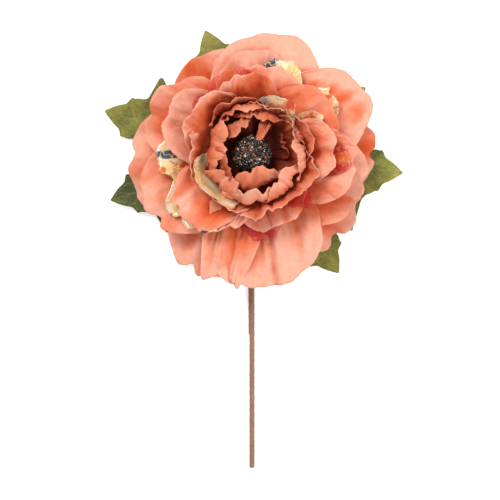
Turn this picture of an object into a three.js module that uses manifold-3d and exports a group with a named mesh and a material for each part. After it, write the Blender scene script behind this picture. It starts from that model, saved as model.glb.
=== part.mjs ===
// A cut peony of formed cloth on a paper-taped wire stem, lying face up on a surface.
//
// The petals come in layers. A layer is one cut sheet: a small disc with a bore, and the petals that
// grow from it. The layers are threaded on the peg of the beaded heart, clear film between cloth, and a
// calyx closes the stack from behind and holds the bent stem. Six lobed leaves spread from the stem
// under the calyx, and three of them touch the surface.
//
// Millimetres. The bloom looks up along +Z, and the stem lies along -Y.

import * as THREE from "three";
import { mergeVertices } from "three/addons/utils/BufferGeometryUtils.js";
import Module from "manifold-3d";

const { degToRad, smoothstep } = THREE.MathUtils;

// ---- the stem
const STEM_RADIUS = 1.6;
const STEM_END_Y = -189;
const STEM_SIDES = 10; // one side is flat on the surface
const BEND_RADIUS = 8;
const BEND_STEPS = 14;
const SECOND_WIRE_RADIUS = 1.25; // taped against the left of the stem from the bloom down
const SECOND_WIRE_X = -0.9;
const SECOND_WIRE_END_Y = -108;

// ---- the stack of layers on the axis of the bloom
const STACK_BASE = 20; // height of the rearmost layer's disc
const HUB_PITCH = 2.4;
const HUB_THICKNESS = 0.9;
const HUB_RADIUS = 7;
const HUB_BORE_RADIUS = 1.9;
const PEG_RADIUS = 1.5;
const SEAT_GAP = 0.3;
const HUB_SIDES = 14;

// ---- the blades
const CLOTH_THICKNESS = 0.8;
const FILM_THICKNESS = 0.6;
const LEAF_THICKNESS = 0.8;
const PETAL_ROOT = 3; // distance from the axis at which a petal starts, inside its disc
const PETAL_WAIST = 0.16; // width at the root as a share of the whole width
const PETAL_WIDEST = 0.75; // share of the length at which the whole width is reached
const PETAL_SHOULDER = 0.3; // how much of the length the rounded corners of the rim give up

// ---- the calyx
const CALYX_BOTTOM = 13;
const CALYX_TOP = STACK_BASE - HUB_THICKNESS / 2 - SEAT_GAP;
const CALYX_BORE_RADIUS = 2.15;

// ---- the heart
const HEART_RADIUS = 12;
const HEART_BEAD_RADIUS = 1.9;
const HEART_BEADS = 50;
const HEART_FOOT_RADIUS = 3.5;
const HEART_MIDDLE_ABOVE_SEAT = 6.5;

const COLOURS = {
  guard: { color: 0xf2a07e, roughness: 0.75 },
  bowl: { color: 0xe8876a, roughness: 0.75 },
  film: { color: 0xd98a78, roughness: 0.15 },
  leaf: { color: 0x8b8640, roughness: 0.65 },
  heart: { color: 0x2e2622, roughness: 0.35 },
  calyx: { color: 0x6f7a3c, roughness: 0.6 },
  stem: { color: 0x9c7868, roughness: 0.85 },
};

// The layers from the back to the front. flat: how far out a petal runs before it rises. pull: how
// long the sweep is that brings it to its rim. cup: radius of its sideways curve where it stands
// upright. tilt: how far one side edge stands in front of the layer and the other behind it, so that
// neighbours overlap like slates. ruffle: height of the waves along the rim. Each petal: turn about
// the axis in degrees, reach of its rim from the axis, rise of its rim over the disc, lip: the way it
// points at the rim, in degrees above level, and width.
const LAYERS = [
  {
    name: "petals_1_back_guard",
    finish: "guard",
    flat: 36,
    pull: 26,
    cup: 70,
    tilt: 1.4,
    ruffle: 1.2,
    petals: [
      { turn: 119, reach: 68, rise: -5, lip: -14, width: 58 },
      { turn: 186, reach: 75, rise: -6, lip: -16, width: 66 },
      { turn: 246, reach: 77, rise: -6, lip: -16, width: 68 },
      { turn: 318, reach: 74, rise: -6, lip: -14, width: 70 },
      { turn: 8, reach: 74, rise: -5, lip: -14, width: 64 },
    ],
  },
  {
    name: "petals_2_front_guard",
    finish: "guard",
    flat: 28,
    pull: 28,
    cup: 70,
    tilt: 1.4,
    ruffle: 1.4,
    petals: [
      { turn: 79, reach: 75, rise: 7, lip: -5, width: 66 },
      { turn: 152, reach: 69, rise: 8, lip: -4, width: 56 },
      { turn: 206, reach: 72, rise: 7, lip: -6, width: 56 },
      { turn: 277, reach: 79, rise: 7, lip: -8, width: 72 },
      { turn: 342, reach: 72, rise: 8, lip: -4, width: 58 },
      { turn: 34, reach: 76, rise: 8, lip: -4, width: 62 },
      { turn: 88, reach: 64, rise: 11, lip: 4, width: 58 },
    ],
  },
  {
    name: "film_1_outer",
    finish: "film",
    film: true,
    flat: 27,
    pull: 24,
    cup: 120,
    tilt: 0.4,
    ruffle: 0.5,
    petals: [
      { turn: 70, reach: 59, rise: 14, lip: 12, width: 34 },
      { turn: 40, reach: 60, rise: 13, lip: 10, width: 34 },
      { turn: 184, reach: 57, rise: 13, lip: 10, width: 38 },
      { turn: 222, reach: 59, rise: 13, lip: 10, width: 40 },
      { turn: 281, reach: 50, rise: 9, lip: 8, width: 32 },
    ],
  },
  {
    name: "petals_3_middle",
    finish: "guard",
    flat: 26,
    pull: 24,
    cup: 54,
    tilt: 0.8,
    ruffle: 1.2,
    petals: [
      { turn: 78, reach: 54, rise: 24, lip: 28, width: 46 },
      { turn: 152, reach: 57, rise: 24, lip: 24, width: 46 },
      { turn: 229, reach: 53, rise: 23, lip: 26, width: 48 },
      { turn: 292, reach: 46, rise: 17, lip: 26, width: 46 },
      { turn: 352, reach: 62, rise: 23, lip: 20, width: 48 },
      { turn: 34, reach: 57, rise: 24, lip: 24, width: 46 },
    ],
  },
  {
    name: "film_2_middle",
    finish: "film",
    film: true,
    flat: 25,
    pull: 20,
    cup: 42,
    tilt: 0.1,
    ruffle: 0.1,
    petals: [
      { turn: 30, reach: 47, rise: 22.5, lip: 38, width: 15 },
      { turn: 359, reach: 57, rise: 22, lip: 26, width: 20 },
      { turn: 316, reach: 43, rise: 19, lip: 40, width: 12 },
    ],
  },
  {
    name: "petals_4_outer_bowl",
    finish: "bowl",
    flat: 28.4,
    pull: 19,
    cup: 35,
    tilt: 0.7,
    ruffle: 0.9,
    petals: [
      { turn: 92, reach: 50, rise: 28, lip: 48, width: 42 },
      { turn: 141, reach: 43.5, rise: 28, lip: 66, width: 40 },
      { turn: 182, reach: 38.3, rise: 28, lip: 76, width: 38 },
      { turn: 232, reach: 38.3, rise: 27, lip: 76, width: 40 },
      { turn: 284, reach: 37, rise: 27, lip: 76, width: 40 },
      { turn: 330, reach: 39, rise: 28, lip: 72, width: 38 },
      { turn: 12, reach: 46, rise: 28, lip: 60, width: 42 },
    ],
  },
  {
    name: "film_3_bowl",
    finish: "film",
    film: true,
    flat: 26.2,
    pull: 20,
    cup: 30,
    tilt: 0.1,
    ruffle: 0.2,
    petals: [
      { turn: 62, reach: 35, rise: 29, lip: 89, width: 28 },
      { turn: 214, reach: 34.5, rise: 28, lip: 89, width: 36 },
    ],
  },
  {
    name: "petals_5_inner_bowl",
    finish: "bowl",
    flat: 20,
    pull: 22,
    cup: 22,
    tilt: 0.6,
    ruffle: 0.6,
    petals: [
      { turn: 172, reach: 23.2, rise: 24, lip: 132, width: 40 },
      { turn: 240, reach: 23.2, rise: 23, lip: 134, width: 40 },
      { turn: 305, reach: 22.8, rise: 23, lip: 134, width: 38 },
      { turn: 12, reach: 24.2, rise: 24, lip: 129, width: 40 },
      { turn: 92, reach: 24.2, rise: 25, lip: 126, width: 40 },
    ],
  },
  {
    name: "petals_6_heart_guard",
    finish: "bowl",
    flat: 14,
    pull: 16,
    cup: 18,
    tilt: 0.5,
    ruffle: 0.5,
    petals: [
      { turn: 282, reach: 7, rise: 21, lip: 150, width: 34 },
      { turn: 205, reach: 19, rise: 19, lip: 105, width: 22 },
      { turn: 124, reach: 18, rise: 20, lip: 110, width: 22 },
      { turn: 74, reach: 9, rise: 22, lip: 148, width: 11 },
    ],
  },
];

// The leaves, alternately in the lower and the upper ring. reach: where the tip lies from the axis.
const LEAVES = [
  { name: "leaf_1_left", turn: 163, reach: 92, upper: false },
  { name: "leaf_2_top", turn: 111, reach: 79, upper: true },
  { name: "leaf_3_top_right", turn: 31, reach: 80, upper: false },
  { name: "leaf_4_right", turn: 354, reach: 91, upper: true },
  { name: "leaf_5_bottom_right", turn: 306, reach: 88, upper: false },
  { name: "leaf_6_bottom_left", turn: 197, reach: 89, upper: true },
];
const LEAF_BLADE_LENGTH = 62;
const LEAF_PETIOLE_HALF_WIDTH = 1.1;
const LEAF_FOLD = 0.05; // rise of a leaf's sides for each millimetre from its rib
// Half of a leaf's outline: distance along the rib from the foot of the blade, then half width. The
// outline jumps inwards in front of each pointed lobe.
const LEAF_OUTLINE = [
  [0, 1.1],
  [3, 9],
  [12, 16],
  [24, 20],
  [36, 24],
  [39, 12.5],
  [48.5, 12.5],
  [50.5, 8.5],
  [57, 4.6],
  [62, 0.3],
];

// ---------------------------------------------------------------- solids

const wasm = await Module();
wasm.setup();

/** A closed geometry as a solid that can be joined and cut. */
function solidOf(geometry) {
  geometry.deleteAttribute("normal");
  geometry.deleteAttribute("uv");
  const merged = mergeVertices(geometry, 1e-4);
  return new wasm.Manifold(
    new wasm.Mesh({
      numProp: 3,
      vertProperties: merged.attributes.position.array,
      triVerts: new Uint32Array(merged.index.array),
    }),
  );
}

function geometryOf(solid) {
  const { vertProperties, triVerts } = solid.getMesh();
  const geometry = new THREE.BufferGeometry();
  geometry.setAttribute("position", new THREE.BufferAttribute(vertProperties, 3));
  geometry.setIndex(new THREE.BufferAttribute(triVerts, 1));
  geometry.computeVertexNormals();
  return geometry;
}

function joined(geometries) {
  return geometryOf(geometries.map(solidOf).reduce((all, next) => all.add(next)));
}

function named(name, geometry, finish) {
  const material = new THREE.MeshStandardMaterial({ metalness: 0, ...COLOURS[finish] });
  const mesh = new THREE.Mesh(geometry, material);
  mesh.name = name;
  return mesh;
}

/**
 * A closed thin blade round the sheet pointAt(u, v), at the given values of u across and v along.
 * Both faces are split into triangles alike, so they never cross where the blade is waved.
 */
function blade(pointAt, us, vs, thickness) {
  const step = 1e-3;
  const across = new THREE.Vector3();
  const along = new THREE.Vector3();
  const faces = [[], []];
  for (const v of vs) {
    for (const u of us) {
      const middle = pointAt(u, v);
      across.subVectors(pointAt(u + step, v), pointAt(u - step, v));
      along.subVectors(pointAt(u, v + step), pointAt(u, v - step));
      const half = across.cross(along).setLength(thickness / 2);
      faces[0].push(...middle.clone().add(half));
      faces[1].push(...middle.clone().sub(half));
    }
  }
  const columns = us.length;
  const back = columns * vs.length;
  const index = [];
  for (let j = 0; j < vs.length - 1; j++) {
    for (let i = 0; i < columns - 1; i++) {
      const a = j * columns + i;
      const [b, c, d] = [a + 1, a + columns + 1, a + columns];
      index.push(a, b, c, a, c, d);
      index.push(back + a, back + c, back + b, back + a, back + d, back + c);
    }
  }
  const rim = rimOf(columns, vs.length);
  rim.forEach((p, k) => {
    const q = rim[(k + 1) % rim.length];
    index.push(p, back + p, back + q, p, back + q, q);
  });
  const geometry = new THREE.BufferGeometry();
  const positions = new Float32Array([...faces[0], ...faces[1]]);
  geometry.setAttribute("position", new THREE.BufferAttribute(positions, 3));
  geometry.setIndex(index);
  return geometry;
}

/** The grid points on the edge of a sheet, once round, anticlockwise. */
function rimOf(columns, rows) {
  const rim = [];
  for (let i = 0; i < columns - 1; i++) rim.push(i);
  for (let j = 0; j < rows - 1; j++) rim.push(j * columns + columns - 1);
  for (let i = columns - 1; i > 0; i--) rim.push((rows - 1) * columns + i);
  for (let j = rows - 1; j > 0; j--) rim.push(j * columns);
  return rim;
}

function sinc(angle) {
  return Math.abs(angle) < 1e-6 ? 1 : Math.sin(angle) / angle;
}

/** count + 1 even steps from first to last. */
function steps(first, last, count) {
  return Array.from({ length: count + 1 }, (_, i) => first + ((last - first) * i) / count);
}

/** A turned body from pairs of radius and height, closed on itself or ending on the axis. */
function turned(profile, sides) {
  return new THREE.LatheGeometry(
    profile.map(([radius, height]) => new THREE.Vector2(radius, height)),
    sides,
  ).rotateX(Math.PI / 2);
}

// ---------------------------------------------------------------- petals

/** The sheet of one petal, in its layer's frame, as a function of u (-1 to 1) and v (0 to 1). */
function petalSheet(layer, { turn, reach, rise, lip, width }, phase) {
  const rim = new THREE.Vector2(reach, rise);
  const lipWay = new THREE.Vector2(Math.cos(degToRad(lip)), Math.sin(degToRad(lip)));
  const spine = new THREE.CubicBezierCurve(
    new THREE.Vector2(PETAL_ROOT, 0),
    new THREE.Vector2(layer.flat, 0),
    rim.clone().addScaledVector(lipWay, -layer.pull),
    rim,
  );
  const axis = new THREE.Vector3(0, 0, 1);
  return (u, v) => {
    const length = v * (1 - PETAL_SHOULDER * Math.abs(u) ** 3.5);
    const at = spine.getPoint(length);
    const way = spine.getTangent(Math.min(Math.max(length, 0.002), 0.998));
    const opened = Math.sin((Math.min(1, v / PETAL_WIDEST) * Math.PI) / 2);
    const half = (width / 2) * (PETAL_WAIST + (1 - PETAL_WAIST) * opened);
    const bend = (half * u * way.y) / layer.cup;
    const lift =
      half * u * Math.sin(bend / 2) * sinc(bend / 2) +
      layer.tilt * u * smoothstep(v, 0.1, 0.5) +
      layer.ruffle * v ** 3 * Math.sin(5 * u + phase);
    return new THREE.Vector3(
      at.x - way.y * lift,
      half * u * sinc(bend),
      at.y + way.x * lift,
    ).applyAxisAngle(axis, degToRad(turn));
  };
}

function hubDisc() {
  const top = HUB_THICKNESS / 2;
  return turned(
    [
      [HUB_BORE_RADIUS, -top],
      [HUB_RADIUS, -top],
      [HUB_RADIUS, top],
      [HUB_BORE_RADIUS, top],
      [HUB_BORE_RADIUS, -top],
    ],
    HUB_SIDES,
  );
}

function petalLayer(layer, level) {
  const thickness = layer.film ? FILM_THICKNESS : CLOTH_THICKNESS;
  const across = steps(-1, 1, layer.film ? 4 : 6);
  const along = steps(0, 1, 5);
  const petals = layer.petals.map((petal, k) =>
    blade(petalSheet(layer, petal, 1.9 * k), across, along, thickness),
  );
  const mesh = named(layer.name, joined([hubDisc(), ...petals]), layer.finish);
  mesh.position.z = STACK_BASE + level * HUB_PITCH;
  return mesh;
}

// ---------------------------------------------------------------- heart

/** The beaded heart: a dome covered in beads on its peg, which the layers are threaded on. */
function heart() {
  const seat = STACK_BASE + (LAYERS.length - 1) * HUB_PITCH + HUB_THICKNESS / 2 + SEAT_GAP;
  const middle = seat + HEART_MIDDLE_ABOVE_SEAT;
  const surface = HEART_RADIUS - HEART_BEAD_RADIUS; // where the middles of the beads lie
  const core = turned(
    [
      [0, CALYX_TOP - 2],
      [PEG_RADIUS, CALYX_TOP - 2],
      [PEG_RADIUS, seat],
      [HEART_FOOT_RADIUS, seat],
      [HEART_FOOT_RADIUS + 2.5, seat + 1],
      [surface - 1, middle - 4],
      [surface - 0.3, middle],
      [0.8 * surface, middle + 0.5 * surface],
      [0.45 * surface, middle + 0.67 * surface],
      [0, middle + 0.74 * surface],
    ],
    HUB_SIDES,
  );
  const beads = [];
  const goldenAngle = Math.PI * (3 - Math.sqrt(5));
  for (let k = 0; k < HEART_BEADS; k++) {
    const height = 1 - (1.12 * (k + 0.5)) / HEART_BEADS;
    const around = Math.sqrt(1 - height * height);
    const bead = new THREE.IcosahedronGeometry(HEART_BEAD_RADIUS, 0);
    bead.rotateX(k).rotateZ(2 * k);
    bead.translate(
      surface * around * Math.cos(k * goldenAngle),
      surface * around * Math.sin(k * goldenAngle),
      middle + 0.72 * surface * height,
    );
    beads.push(bead);
  }
  return named("heart_beads", joined([core, ...beads]), "heart");
}

// ---------------------------------------------------------------- calyx, stem, leaves

/** The plastic cup behind the petals, bored for the stem and the peg, with five sepals. */
function calyx() {
  const cup = turned(
    [
      [CALYX_BORE_RADIUS, CALYX_BOTTOM],
      [3.8, CALYX_BOTTOM],
      [4.6, CALYX_BOTTOM + 1.6],
      [7.6, CALYX_TOP - 1.6],
      [8, CALYX_TOP],
      [CALYX_BORE_RADIUS, CALYX_TOP],
      [CALYX_BORE_RADIUS, CALYX_BOTTOM],
    ],
    HUB_SIDES,
  );
  const sepalSheet = (turn) => (u, v) => {
    const out = 5 + 15 * v;
    const half = 4.6 * Math.sin(Math.PI * Math.min(0.97, 0.25 + 0.75 * v)) ** 0.7;
    return new THREE.Vector3(
      out,
      half * u,
      CALYX_TOP - 1.1 - 1.8 * v * v - 0.5 * u * u,
    ).applyAxisAngle(new THREE.Vector3(0, 0, 1), turn);
  };
  const sepals = steps(0, 4, 4).map((k) =>
    blade(sepalSheet((k * 2 * Math.PI) / 5), steps(-1, 1, 2), steps(0, 1, 4), 0.8),
  );
  return named("calyx", joined([cup, ...sepals]), "calyx");
}

/** A straight wire along the surface, with a flat side down. */
function straightWire(radius, x, startY, endY) {
  const corner = radius / Math.cos(Math.PI / STEM_SIDES);
  return new THREE.CylinderGeometry(corner, corner, endY - startY, STEM_SIDES)
    .rotateY(Math.PI / STEM_SIDES)
    .translate(x, (startY + endY) / 2, STEM_RADIUS);
}

/** The stem's bend, from the end of its straight stretch up into the calyx. */
function bentWire() {
  const foot = new THREE.Vector3(0, -BEND_RADIUS, STEM_RADIUS);
  const top = new THREE.Vector3(0, 0, STEM_RADIUS + BEND_RADIUS);
  const corner = new THREE.Vector3(0, 0, STEM_RADIUS);
  const line = new THREE.CurvePath();
  line.add(
    new THREE.CubicBezierCurve3(
      foot,
      foot.clone().lerp(corner, 0.55),
      top.clone().lerp(corner, 0.55),
      top,
    ),
  );
  line.add(new THREE.LineCurve3(top, new THREE.Vector3(0, 0, CALYX_BOTTOM + 3)));
  const section = new THREE.Shape().absarc(0, 0, 0.98 * STEM_RADIUS, 0, 2 * Math.PI);
  return new THREE.ExtrudeGeometry(section, {
    steps: BEND_STEPS,
    curveSegments: STEM_SIDES,
    extrudePath: line,
  });
}

function stem() {
  const wires = [
    straightWire(STEM_RADIUS, 0, STEM_END_Y, -BEND_RADIUS + 0.6),
    bentWire(),
    straightWire(SECOND_WIRE_RADIUS, SECOND_WIRE_X, SECOND_WIRE_END_Y, -BEND_RADIUS - 6),
  ];
  return named("stem", joined(wires), "stem");
}

/** A leaf on its short stalk: a lobed blade, folded a little along its rib, that comes down to its tip. */
function leaf({ name, turn, reach, upper }) {
  const foot = reach - LEAF_BLADE_LENGTH;
  const stalkStart = STEM_RADIUS + SEAT_GAP + 0.2;
  const root = upper ? 11.6 : 9.2;
  const tip = upper ? 5 : 0;
  const heightAt = (out) => {
    const left = Math.max(0, (reach - out) / (reach - stalkStart));
    return tip + LEAF_THICKNESS / 2 + (root - tip) * left ** 1.3;
  };
  const stalk = [stalkStart, stalkStart + 9, foot - 4].map((out) => [out, LEAF_PETIOLE_HALF_WIDTH]);
  const outline = [...stalk, ...LEAF_OUTLINE.map(([along, half]) => [foot + along, half])];
  const sheet = (u, v) => {
    const k = THREE.MathUtils.clamp(Math.floor(v), 0, outline.length - 2);
    const [out, half] = [0, 1].map((c) => THREE.MathUtils.lerp(outline[k][c], outline[k + 1][c], v - k));
    const side = half * u;
    return new THREE.Vector3(out, side, heightAt(out) + LEAF_FOLD * Math.abs(side)).applyAxisAngle(
      new THREE.Vector3(0, 0, 1),
      degToRad(turn),
    );
  };
  const rows = outline.map((_, k) => k);
  return named(name, geometryOf(solidOf(blade(sheet, steps(-1, 1, 4), rows, LEAF_THICKNESS))), "leaf");
}

// ---------------------------------------------------------------- the peony

const peony = new THREE.Group();
peony.add(stem(), calyx(), ...LEAVES.map(leaf), ...LAYERS.map(petalLayer), heart());

// The part's origin is under the middle of the whole flower, on the surface.
const box = new THREE.Box3().setFromObject(peony);
peony.position.set(-(box.min.x + box.max.x) / 2, -(box.min.y + box.max.y) / 2, -box.min.z);

export default peony;
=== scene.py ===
import math
import random
from collections import namedtuple
from functools import lru_cache

import bmesh
import bpy
from mathutils import Matrix, Vector, noise


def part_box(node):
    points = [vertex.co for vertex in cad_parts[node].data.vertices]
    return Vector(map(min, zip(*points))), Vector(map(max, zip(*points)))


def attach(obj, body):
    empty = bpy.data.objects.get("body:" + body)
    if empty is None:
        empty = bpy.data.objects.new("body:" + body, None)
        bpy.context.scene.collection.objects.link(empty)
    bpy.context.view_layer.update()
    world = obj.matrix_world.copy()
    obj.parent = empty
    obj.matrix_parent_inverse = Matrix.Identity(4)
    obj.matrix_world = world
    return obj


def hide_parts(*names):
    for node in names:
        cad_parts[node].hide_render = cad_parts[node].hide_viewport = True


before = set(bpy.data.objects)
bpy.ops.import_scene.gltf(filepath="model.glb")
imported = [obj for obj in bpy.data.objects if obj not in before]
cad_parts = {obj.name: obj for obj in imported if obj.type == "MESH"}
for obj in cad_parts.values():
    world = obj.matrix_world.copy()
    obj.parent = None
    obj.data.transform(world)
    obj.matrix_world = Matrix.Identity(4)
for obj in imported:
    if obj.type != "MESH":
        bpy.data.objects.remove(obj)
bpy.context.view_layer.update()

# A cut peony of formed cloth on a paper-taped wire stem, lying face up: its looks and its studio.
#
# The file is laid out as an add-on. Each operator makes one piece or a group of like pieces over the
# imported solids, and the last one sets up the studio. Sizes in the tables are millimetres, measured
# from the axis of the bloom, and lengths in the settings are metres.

bl_info = {
    "name": "Cloth peony",
    "version": (1, 0, 0),
    "blender": (4, 5, 0),
    "location": "View3D > Sidebar > Peony",
    "description": "Makes a cut peony of formed cloth and film on a taped stem, piece by piece",
    "category": "Add Mesh",
}

BODY = "root"
MM = 0.001
SEED = 11
MERGE_DISTANCE = 1e-6

# ---- where things are ----

STEM_RADIUS = 1.6
STEM_SIDES = 10
STEM_LENGTH = 189.0  # from the axis of the bloom to the cut end
SECOND_WIRE_RADIUS = 1.25
SECOND_WIRE_X = -0.9
SECOND_WIRE_END = -108.0
BEND_RADIUS = 8.0
STACK_BASE = 20.0  # height of the rearmost layer's disc
HUB_PITCH = 2.4
HUB_THICKNESS = 0.9
SEAT_GAP = 0.3
HUB_RADIUS = 7.0
HUB_BORE_RADIUS = 1.9
HUB_SIDES = 48
CALYX_BOTTOM = 13.0
CALYX_TOP = 19.25
CALYX_BORE_RADIUS = 2.15
HEART_RADIUS = 12.0
HEART_CORE_RADIUS = HEART_RADIUS - 1.9  # of the dark dome under the beads
HEART_FLATNESS = 0.74  # height of the dome over its radius
BEAD_RADII = (0.75, 1.35)
HEART_SEAT = STACK_BASE + 8 * HUB_PITCH + HUB_THICKNESS / 2 + SEAT_GAP
HEART_MIDDLE = HEART_SEAT + 6.5

_stem_low, _stem_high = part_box("stem")
BLOOM_X = _stem_high.x / MM - STEM_RADIUS / math.cos(math.pi / STEM_SIDES)
BLOOM_Y = _stem_low.y / MM + STEM_LENGTH


def place(x, y, z):
    """A point given in millimetres from the bloom's axis, in the frame's metres."""
    return Vector(((BLOOM_X + x) * MM, (BLOOM_Y + y) * MM, z * MM))


# ---- the petals' patterns ----

# One petal: turn about the axis in degrees; reach and rise of its rim; lip, the way it points at the
# rim, in degrees above level; width; nicks in the rim as (place across from -1 to 1, depth, width);
# folds down the cloth as (place across, height, width); edges, how far its sides curl up; wave, the
# height and the phase of the swell along its rim; tone, from -1 for pale to 1 for deep, partly the
# cloth's own tone and partly painted light and shade for how brightly the petal is lit, or on film the
# hue, from -1 for see-through pink over painted reflections of gold and cream to 1 for painted slate;
# patches where the tone is higher or lower, partly dyed patches and partly painted shade in recesses
# and painted light on rims, as (place across, place along, size, amount); flat and pull, where they
# differ from the layer's.
Petal = namedtuple(
    "Petal",
    "turn reach rise lip width nicks folds edges wave tone stains flat pull",
    defaults=((), (), (0.0, 0.0), (1.0, 0.0), 0.0, (), None, None),
)

# One layer. level: its place in the stack, from the back; flat, pull, cup, tilt and ruffle shape its
# petals as in the solids; curl: how far the rim rolls back; ragged: how deep its small tears are;
# pleat: height of its fine pleats.
Layer = namedtuple("Layer", "level flat pull cup tilt ruffle curl ragged pleat petals")

CLOTH_LAYERS = {}
CLOTH_LAYERS["petals_1_back_guard"] = Layer(0, 36, 26, 70, 1.4, 1.2, 1, 0.6, 0.1, [
    # Its deep patches are painted shade under the petals that overlap it.
    Petal(119, 68, -5, -14, 58, ((0.5, 2, 0.2), (0.8, 3, 0.15)), ((-0.5, 0.9, 0.2), (0.1, 0.6, 0.1)),
        (1, 1), (1.4, 0.4), 0.3, ((-0.35, 0.75, 0.3, 0.3), (0.2, 0.78, 0.3, 1.5))),
    Petal(186, 75, -6, -16, 66, ((-0.25, 5, 0.16), (0.35, 2, 0.2)), ((0.2, -0.9, 0.2),), (1, 2),
        (2.2, 1), 0.1),
    Petal(246, 76, -6, -16, 68, ((-0.18, 3, 0.07), (0.3, 6, 0.07), (-0.42, -3, 0.12), (0.6, -3, 0.12),
        (0, -4, 0.12)), ((-0.2, 1.4, 0.1), (0.05, -1.2, 0.08), (0.3, 1.3, 0.1)), (1, 2), (2.4, 2), 0,
        ((0.1, 0.7, 0.25, 0.5), (0.75, 0.6, 0.2, 0.6))),
    Petal(318, 74, -6, -14, 70, ((-0.1, 4, 0.12), (0.55, 6, 0.14), (-0.62, 5, 0.2)),
        ((-0.1, -1.4, 0.12), (0.45, 1.2, 0.16)), (1, 1), (2.2, 0), 0.25, ((-0.1, 0.75, 0.2, 0.4),
        (0.6, 0.8, 0.25, 0.5))),
    Petal(8, 74, -5, -14, 64, ((-0.3, 4, 0.1), (0.25, 2, 0.1)), ((0.05, 1.4, 0.12), (-0.3, -1, 0.1)),
        (2, 5), (1.6, 3), 0, ((-0.12, 0.88, 0.26, 2),)),
])
CLOTH_LAYERS["petals_2_front_guard"] = Layer(1, 28, 28, 70, 1.4, 1.4, 1, 0.5, 0.1, [
    Petal(79, 73.5, 7, -5, 66, ((-0.45, -2.5, 0.3), (0.5, 3, 0.25)), ((-0.35, 0.9, 0.2),
        (0.4, -0.9, 0.16)), (1, 1), (1.5, 1), -0.5, ((-0.75, 0.75, 0.18, 0.5),)),
    Petal(152, 69, 8, -4, 56, ((0.3, 4, 0.16), (-0.6, 5, 0.2)), ((0.2, -1.2, 0.14), (-0.3, 1.6, 0.1)),
        (4, 2), (2.2, 2.2), 0, ((-0.35, 0.85, 0.2, 0.7), (0.36, 0.86, 0.22, 1),
        (-0.85, 0.72, 0.25, 1))),
    Petal(206, 72, 7, -6, 56, ((-0.35, 3, 0.18), (0.35, 5, 0.15)), ((0.1, 0.9, 0.2),), (2, 2),
        (1.5, 0.5), 0.15, ((-0.3, 0.85, 0.2, -0.3), (0.5, 0.8, 0.25, 0.4))),
    Petal(277, 80, 7, -8, 72, ((-0.45, 2, 0.1), (0.6, 2, 0.14)), ((-0.55, -1.4, 0.07),
        (-0.4, 1.2, 0.1), (0.12, -1.4, 0.05), (0.22, 1.2, 0.08), (0.55, -1, 0.1)), (1, 1), (1.5, 4),
        -0.3, ((0.5, 0.9, 0.4, -0.7), (-0.45, 0.72, 0.25, 0.9), (0.3, 0.7, 0.3, -0.5))),
    Petal(342, 71, 8, -4, 58, ((0.2, 3, 0.12), (-0.35, 4, 0.2)), ((-0.3, -2, 0.1), (0.2, 1.2, 0.2)),
        (1, 2), (2, 0.6), 0, ((-0.5, 0.8, 0.2, 0.6),)),
    # Its row of deep patches paints the shadow line along the edge of the film over it.
    Petal(34, 76, 8, -4, 62, ((0.85, 14, 0.3), (-0.5, -3, 0.3), (0.2, 0, 0.1)), ((0.3, 0.9, 0.2),),
        (1, 1), (1.5, 3), -0.4, ((0.45, 0.73, 0.1, 1.4), (0.2, 0.79, 0.1, 1.4),
        (-0.08, 0.84, 0.1, 1.2), (-0.34, 0.87, 0.08, 0.9), (-0.46, 0.88, 0.09, 1),
        (-0.58, 0.87, 0.08, 0.9))),
    Petal(256, 76, 9.5, -8, 34, ((-0.7, -9, 0.25), (0.7, -9, 0.25)), ((-0.35, 1, 0.14),
        (0.15, -0.9, 0.1)), (1, 1), (0.8, 2), 0, ((0.1, 0.6, 0.3, 0.6),)),
    Petal(84, 64, 11, 4, 52, ((0.2, 1, 0.3), (-0.4, 1.5, 0.2)), ((0.3, 0.9, 0.2), (-0.5, 0.8, 0.16)),
        (0, 2.5), (1.4, 1), -0.3, ((0.8, 0.75, 0.2, 0.5),)),
])
CLOTH_LAYERS["petals_3_middle"] = Layer(3, 26, 24, 54, 1.6, 1.2, 1, 0.6, 0.1, [
    Petal(78, 54, 24, 28, 46, ((-0.6, 2, 0.2), (0.1, 1.5, 0.14)), ((0.5, 0.9, 0.2), (-0.1, 0.8, 0.12)),
        (1, 1), (1.4, 1), 0.3, ((0.6, 0.8, 0.25, 0.6), (-0.3, 0.9, 0.2, -0.4))),
    Petal(152, 57, 24, 24, 46, ((0.1, 1.5, 0.2),), ((-0.3, 0.8, 0.2), (0.35, -0.7, 0.14)), (1, 2),
        (1.8, 0), -0.5, ((-0.8, 0.7, 0.25, 1.2),)),
    Petal(222, 56, 22, 22, 43, ((0.35, 2, 0.15), (-0.75, 3, 0.14), (-0.3, 2, 0.1)),
        ((-0.6, -0.9, 0.14), (-0.3, 1, 0.14), (0.35, -1, 0.14)), (3, 2), (2, 2), 0.2,
        ((0.3, 0.6, 0.3, 0.5), (0.75, 0.6, 0.25, 0.6))),
    Petal(248, 47.5, 18, 26, 28, ((0.3, 2, 0.2), (-0.2, -1, 0.2)), ((0.2, -0.5, 0.14),), (2, 1),
        (1, 1), 0),
    Petal(292, 46, 17, 26, 46, ((-0.2, 1, 0.2),), ((0.2, -0.7, 0.16),), (1, 1), (0.9, 1), 0.3,
        ((-0.4, 1.03, 0.12, -1), (0, 1.03, 0.12, -1), (0.4, 1.03, 0.12, -1))),
    Petal(352, 62, 23, 20, 48, ((0.2, 3, 0.14),), ((0.25, -0.9, 0.16), (-0.3, 0.9, 0.14)), (1, 1),
        (1.8, 3), 0.1),
    Petal(34, 56, 24, 24, 46, ((-0.3, 2, 0.2),), ((0.2, 0.8, 0.2),), (1, 2), (1.4, 2), 0.55,
        ((-0.5, 0.8, 0.3, 0.4),)),
])
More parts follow.
